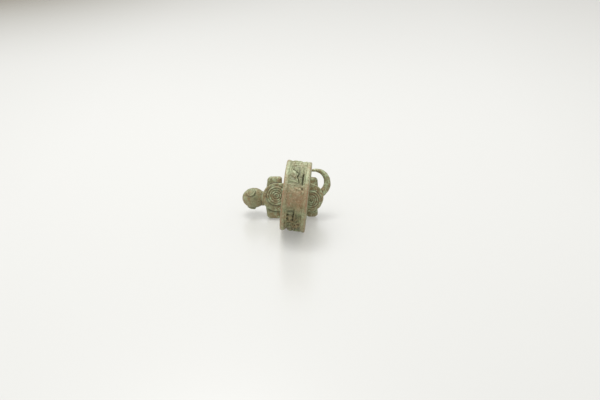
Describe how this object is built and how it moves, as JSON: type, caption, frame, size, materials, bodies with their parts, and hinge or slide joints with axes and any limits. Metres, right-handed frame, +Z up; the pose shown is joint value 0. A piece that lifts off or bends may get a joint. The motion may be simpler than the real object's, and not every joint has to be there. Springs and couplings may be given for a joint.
{
  "type": "tortoise finger ring",
  "caption": "Cast bronze finger ring with a wide relief-decorated hoop and a tortoise as its bezel, resting on its rim and the tortoise's feet.",
  "frame": {"origin": "centre of the finger bore", "axes": "+Z up as the ring rests on a table; +X along the tortoise towards its tail; +Y from the palm side of the hoop towards the tortoise"},
  "size_m": [0.0307, 0.0281, 0.0242],
  "materials": {
    "green_bronze": "cast bronze with a green and dark brown patina, matte",
    "brown_bronze": "cast bronze with a thin brown-green patina, satin",
    "worn_bronze": "cast bronze worn to a copper brown, satin"
  },
  "bodies": {
    "root": {"hoop_strap": "worn_bronze", "rim_head_side": "worn_bronze", "rim_tail_side": "worn_bronze", "relief_ground": "green_bronze", "relief_medallion": "green_bronze", "relief_ridge": "green_bronze", "relief_crescent": "worn_bronze", "relief_leaves": "green_bronze", "belly_plate": "green_bronze", "belly_edge_wire": "green_bronze", "belly_coil_head_side": "green_bronze", "belly_coil_tail_side": "green_bronze", "carapace": "green_bronze", "scutes": "green_bronze", "neck": "brown_bronze", "head": "brown_bronze", "eye_left": "brown_bronze", "eye_right": "brown_bronze", "eyelid_left": "brown_bronze", "eyelid_right": "brown_bronze", "fore_leg_left": "green_bronze", "fore_leg_right": "green_bronze", "hind_leg_left": "green_bronze", "hind_leg_right": "green_bronze", "tail": "green_bronze"}
  },
  "joints": []
}
